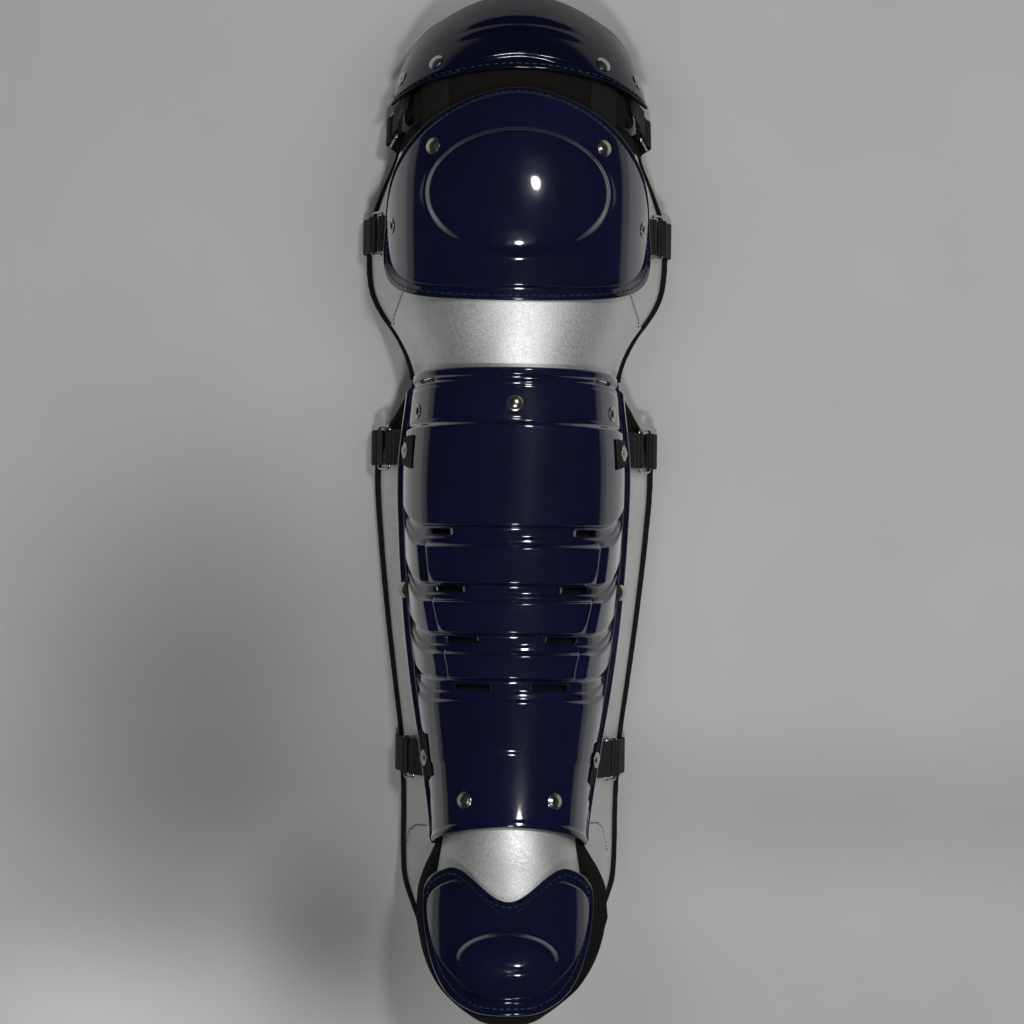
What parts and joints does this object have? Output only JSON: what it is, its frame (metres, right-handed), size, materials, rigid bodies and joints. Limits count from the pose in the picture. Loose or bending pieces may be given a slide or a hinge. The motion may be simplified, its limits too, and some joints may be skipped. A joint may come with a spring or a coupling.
{
  "type": "leg guard",
  "caption": "Athletic leg guard: glossy thigh, knee, stepped shin and toe shells over padding with side wings, webbing tabs and wire loops, and straps behind the leg.",
  "frame": {"origin": "centre of the footprint on the floor, with the guard lying on its back on its straps and wings", "axes": "+Z out of the front of the leg, +Y to the thigh, +X to the right of the picture"},
  "size_m": [0.2136, 0.6802, 0.1656],
  "materials": {
    "shell_plastic": "high gloss navy, moulded",
    "silver_vinyl": "metallic silver synthetic leather with a fine grain",
    "black_fabric": "matt black woven fabric and edge binding",
    "black_webbing": "cross ribbed black webbing",
    "nickel": "bright nickel plate"
  },
  "bodies": {
    "root": {"hinge_panel": "black_fabric", "hinge_web_left": "black_webbing", "hinge_web_right": "black_webbing", "instep_panel": "silver_vinyl", "knee_band": "silver_vinyl", "knee_binding_left": "black_fabric", "knee_binding_right": "black_fabric", "knee_cap": "shell_plastic", "knee_loop_left": "nickel", "knee_loop_right": "nickel", "knee_pad": "silver_vinyl", "knee_rivet_side_left": "nickel", "knee_rivet_side_right": "nickel", "knee_rivet_upper_left": "nickel", "knee_rivet_upper_right": "nickel", "knee_strap": "black_webbing", "knee_tab_left": "black_webbing", "knee_tab_right": "black_webbing", "lower_shin_loop_left": "nickel", "lower_shin_loop_right": "nickel", "lower_shin_strap": "black_webbing", "lower_shin_tab_left": "black_webbing", "lower_shin_tab_right": "black_webbing", "shin_binding_left": "black_fabric", "shin_binding_right": "black_fabric", "shin_pad": "silver_vinyl", "shin_rivet_crest": "nickel", "shin_rivet_front_left": "nickel", "shin_rivet_front_right": "nickel", "shin_rivet_lower_tab_left": "nickel", "shin_rivet_lower_tab_right": "nickel", "shin_rivet_middle_left": "nickel", "shin_rivet_middle_right": "nickel", "shin_rivet_top_left": "nickel", "shin_rivet_top_right": "nickel", "shin_rivet_upper_tab_left": "nickel", "shin_rivet_upper_tab_right": "nickel", "shin_shell": "shell_plastic", "thigh_cap": "shell_plastic", "thigh_loop_left": "nickel", "thigh_loop_right": "nickel", "thigh_pad": "black_fabric", "thigh_rivet_front_left": "nickel", "thigh_rivet_front_right": "nickel", "thigh_rivet_side_left": "nickel", "thigh_rivet_side_right": "nickel", "thigh_strap": "black_webbing", "thigh_tab_left": "black_webbing", "thigh_tab_right": "black_webbing", "toe_cap": "shell_plastic", "toe_pad": "black_fabric", "upper_shin_loop_left": "nickel", "upper_shin_loop_right": "nickel", "upper_shin_strap": "black_webbing", "upper_shin_tab_left": "black_webbing", "upper_shin_tab_right": "black_webbing"}
  },
  "joints": []
}
